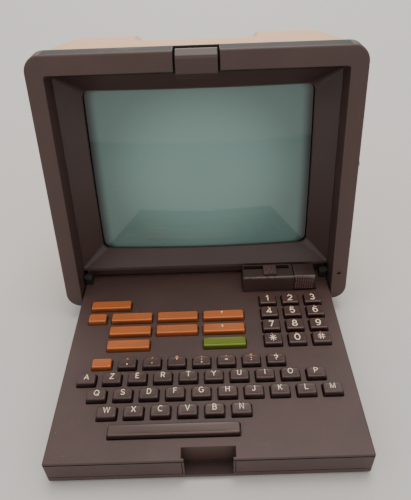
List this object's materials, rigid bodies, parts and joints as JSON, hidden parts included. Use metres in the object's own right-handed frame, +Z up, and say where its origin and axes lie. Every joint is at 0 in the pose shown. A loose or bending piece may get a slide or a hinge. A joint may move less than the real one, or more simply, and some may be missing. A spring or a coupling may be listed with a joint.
{
  "type": "computer terminal",
  "caption": "Desktop terminal with a small picture tube behind a leaning brown frame, a pale rear housing and a keyboard that folds up over the screen.",
  "frame": {"origin": "middle of the whole footprint, on the table it stands on, with the keyboard folded down", "axes": "+Z up; the keyboard lies towards -Y and the rear housing towards +Y; +X is to the right of someone who sits at it"},
  "size_m": [0.2534, 0.4068, 0.2246],
  "materials": {
    "brown_plastic": "fine texture",
    "dark_brown_plastic": "fine texture",
    "beige_plastic": "fine texture",
    "orange_plastic": "satin",
    "green_plastic": "satin",
    "black_plastic": "satin",
    "tube_glass": "polished, opaque",
    "foot_rubber": "matt",
    "steel": "plain",
    "circuit_board": "lacquered",
    "copper_winding": "lacquered wire",
    "ferrite": "matt",
    "lamp_lens": "clear"
  },
  "bodies": {
    "terminal": {"front_frame": "brown_plastic", "screen_mask": "dark_brown_plastic", "picture_tube": "tube_glass", "deflection_yoke": "copper_winding", "neck_board": "circuit_board", "anode_lead": "black_plastic", "rear_housing": "beige_plastic", "base_tray": "brown_plastic", "foot_front_left": "foot_rubber", "foot_front_right": "foot_rubber", "foot_rear_left": "foot_rubber", "foot_rear_right": "foot_rubber", "main_board": "circuit_board", "mains_transformer": "ferrite", "flyback_transformer": "black_plastic", "loudspeaker": "ferrite", "keyboard_ribbon": "beige_plastic", "data_socket": "black_plastic", "mains_gland": "foot_rubber", "line_gland": "foot_rubber", "switch_housing": "dark_brown_plastic", "latch_spring": "steel", "power_lamp": "lamp_lens", "hinge_pin_left": "black_plastic", "hinge_pin_right": "black_plastic"},
    "keyboard": {"keyboard_top": "brown_plastic", "keyboard_base": "brown_plastic", "keyboard_board": "circuit_board"},
    "latch": {"latch": "brown_plastic"},
    "power_rocker": {"power_rocker": "dark_brown_plastic"},
    "slider": {"slider": "dark_brown_plastic"},
    "side_wheel": {"side_wheel": "dark_brown_plastic"},
    "key_connect": {"key_connect": "orange_plastic"},
    "key_zoom": {"key_zoom": "orange_plastic"},
    "key_square": {"key_square": "orange_plastic"},
    "key_repeat": {"key_repeat": "orange_plastic"},
    "key_cancel": {"key_cancel": "orange_plastic"},
    "key_back": {"key_back": "orange_plastic"},
    "key_index": {"key_index": "orange_plastic"},
    "key_correct": {"key_correct": "orange_plastic"},
    "key_next": {"key_next": "orange_plastic"},
    "key_guide": {"key_guide": "orange_plastic"},
    "key_send": {"key_send": "green_plastic"},
    "key_pad_1": {"key_pad_1": "dark_brown_plastic"},
    "key_pad_2": {"key_pad_2": "dark_brown_plastic"},
    "key_pad_3": {"key_pad_3": "dark_brown_plastic"},
    "key_pad_4": {"key_pad_4": "dark_brown_plastic"},
    "key_pad_5": {"key_pad_5": "dark_brown_plastic"},
    "key_pad_6": {"key_pad_6": "dark_brown_plastic"},
    "key_pad_7": {"key_pad_7": "dark_brown_plastic"},
    "key_pad_8": {"key_pad_8": "dark_brown_plastic"},
    "key_pad_9": {"key_pad_9": "dark_brown_plastic"},
    "key_pad_star": {"key_pad_star": "dark_brown_plastic"},
    "key_pad_0": {"key_pad_0": "dark_brown_plastic"},
    "key_pad_hash": {"key_pad_hash": "dark_brown_plastic"},
    "key_row_symbols": {"key_row_symbols": "dark_brown_plastic"},
    "key_row_upper": {"key_row_upper": "dark_brown_plastic"},
    "key_row_middle": {"key_row_middle": "dark_brown_plastic"},
    "key_row_lower": {"key_row_lower": "dark_brown_plastic"},
    "key_space": {"key_space": "dark_brown_plastic"}
  },
  "joints": [
    {"name": "keyboard_fold", "type": "hinge", "parent": "terminal", "child": "keyboard", "pos_m": [0, -0.02535, 0.029], "axis": [-1, 0, 0], "range_deg": [0, 101.3]},
    {"name": "latch_press", "type": "slide", "parent": "terminal", "child": "latch", "axis": [0, 0.9806, -0.1959], "range_m": [0, 0.003], "stiffness_N_per_m": 400, "springref_m": -0.004},
    {"name": "power_rock", "type": "hinge", "parent": "terminal", "child": "power_rocker", "pos_m": [0.08665, -0.03675, 0.0285], "axis": [-1, 0, 0], "range_deg": [0, 10]},
    {"name": "slider_shift", "type": "slide", "parent": "terminal", "child": "slider", "axis": [1, 0, 0], "range_m": [-0.018, 0.012]},
    {"name": "wheel_turn", "type": "hinge", "parent": "terminal", "child": "side_wheel", "pos_m": [0.12125, -0.01634, 0.13454], "axis": [0, 0.9806, -0.1959], "range_deg": [-135, 135]},
    {"name": "key_connect_press", "type": "slide", "parent": "keyboard", "child": "key_connect", "axis": [0, 0, -1], "range_m": [0, 0.0025], "stiffness_N_per_m": 200, "springref_m": -0.002},
    {"name": "key_zoom_press", "type": "slide", "parent": "keyboard", "child": "key_zoom", "axis": [0, 0, -1], "range_m": [0, 0.0025], "stiffness_N_per_m": 200, "springref_m": -0.002},
    {"name": "key_square_press", "type": "slide", "parent": "keyboard", "child": "key_square", "axis": [0, 0, -1], "range_m": [0, 0.0025], "stiffness_N_per_m": 200, "springref_m": -0.002},
    {"name": "key_repeat_press", "type": "slide", "parent": "keyboard", "child": "key_repeat", "axis": [0, 0, -1], "range_m": [0, 0.0025], "stiffness_N_per_m": 200, "springref_m": -0.002},
    {"name": "key_cancel_press", "type": "slide", "parent": "keyboard", "child": "key_cancel", "axis": [0, 0, -1], "range_m": [0, 0.0025], "stiffness_N_per_m": 200, "springref_m": -0.002},
    {"name": "key_back_press", "type": "slide", "parent": "keyboard", "child": "key_back", "axis": [0, 0, -1], "range_m": [0, 0.0025], "stiffness_N_per_m": 200, "springref_m": -0.002},
    {"name": "key_index_press", "type": "slide", "parent": "keyboard", "child": "key_index", "axis": [0, 0, -1], "range_m": [0, 0.0025], "stiffness_N_per_m": 200, "springref_m": -0.002},
    {"name": "key_correct_press", "type": "slide", "parent": "keyboard", "child": "key_correct", "axis": [0, 0, -1], "range_m": [0, 0.0025], "stiffness_N_per_m": 200, "springref_m": -0.002},
    {"name": "key_next_press", "type": "slide", "parent": "keyboard", "child": "key_next", "axis": [0, 0, -1], "range_m": [0, 0.0025], "stiffness_N_per_m": 200, "springref_m": -0.002},
    {"name": "key_guide_press", "type": "slide", "parent": "keyboard", "child": "key_guide", "axis": [0, 0, -1], "range_m": [0, 0.0025], "stiffness_N_per_m": 200, "springref_m": -0.002},
    {"name": "key_send_press", "type": "slide", "parent": "keyboard", "child": "key_send", "axis": [0, 0, -1], "range_m": [0, 0.0025], "stiffness_N_per_m": 200, "springref_m": -0.002},
    {"name": "key_pad_1_press", "type": "slide", "parent": "keyboard", "child": "key_pad_1", "axis": [0, 0, -1], "range_m": [0, 0.0025], "stiffness_N_per_m": 200, "springref_m": -0.002},
    {"name": "key_pad_2_press", "type": "slide", "parent": "keyboard", "child": "key_pad_2", "axis": [0, 0, -1], "range_m": [0, 0.0025], "stiffness_N_per_m": 200, "springref_m": -0.002},
    {"name": "key_pad_3_press", "type": "slide", "parent": "keyboard", "child": "key_pad_3", "axis": [0, 0, -1], "range_m": [0, 0.0025], "stiffness_N_per_m": 200, "springref_m": -0.002},
    {"name": "key_pad_4_press", "type": "slide", "parent": "keyboard", "child": "key_pad_4", "axis": [0, 0, -1], "range_m": [0, 0.0025], "stiffness_N_per_m": 200, "springref_m": -0.002},
    {"name": "key_pad_5_press", "type": "slide", "parent": "keyboard", "child": "key_pad_5", "axis": [0, 0, -1], "range_m": [0, 0.0025], "stiffness_N_per_m": 200, "springref_m": -0.002},
    {"name": "key_pad_6_press", "type": "slide", "parent": "keyboard", "child": "key_pad_6", "axis": [0, 0, -1], "range_m": [0, 0.0025], "stiffness_N_per_m": 200, "springref_m": -0.002},
    {"name": "key_pad_7_press", "type": "slide", "parent": "keyboard", "child": "key_pad_7", "axis": [0, 0, -1], "range_m": [0, 0.0025], "stiffness_N_per_m": 200, "springref_m": -0.002},
    {"name": "key_pad_8_press", "type": "slide", "parent": "keyboard", "child": "key_pad_8", "axis": [0, 0, -1], "range_m": [0, 0.0025], "stiffness_N_per_m": 200, "springref_m": -0.002},
    {"name": "key_pad_9_press", "type": "slide", "parent": "keyboard", "child": "key_pad_9", "axis": [0, 0, -1], "range_m": [0, 0.0025], "stiffness_N_per_m": 200, "springref_m": -0.002},
    {"name": "key_pad_star_press", "type": "slide", "parent": "keyboard", "child": "key_pad_star", "axis": [0, 0, -1], "range_m": [0, 0.0025], "stiffness_N_per_m": 200, "springref_m": -0.002},
    {"name": "key_pad_0_press", "type": "slide", "parent": "keyboard", "child": "key_pad_0", "axis": [0, 0, -1], "range_m": [0, 0.0025], "stiffness_N_per_m": 200, "springref_m": -0.002},
    {"name": "key_pad_hash_press", "type": "slide", "parent": "keyboard", "child": "key_pad_hash", "axis": [0, 0, -1], "range_m": [0, 0.0025], "stiffness_N_per_m": 200, "springref_m": -0.002},
    {"name": "key_row_symbols_press", "type": "slide", "parent": "keyboard", "child": "key_row_symbols", "axis": [0, 0, -1], "range_m": [0, 0.0025], "stiffness_N_per_m": 300, "springref_m": -0.002},
    {"name": "key_row_upper_press", "type": "slide", "parent": "keyboard", "child": "key_row_upper", "axis": [0, 0, -1], "range_m": [0, 0.0025], "stiffness_N_per_m": 300, "springref_m": -0.002},
    {"name": "key_row_middle_press", "type": "slide", "parent": "keyboard", "child": "key_row_middle", "axis": [0, 0, -1], "range_m": [0, 0.0025], "stiffness_N_per_m": 300, "springref_m": -0.002},
    {"name": "key_row_lower_press", "type": "slide", "parent": "keyboard", "child": "key_row_lower", "axis": [0, 0, -1], "range_m": [0, 0.0025], "stiffness_N_per_m": 300, "springref_m": -0.002},
    {"name": "key_space_press", "type": "slide", "parent": "keyboard", "child": "key_space", "axis": [0, 0, -1], "range_m": [0, 0.0025], "stiffness_N_per_m": 300, "springref_m": -0.002}
  ]
}
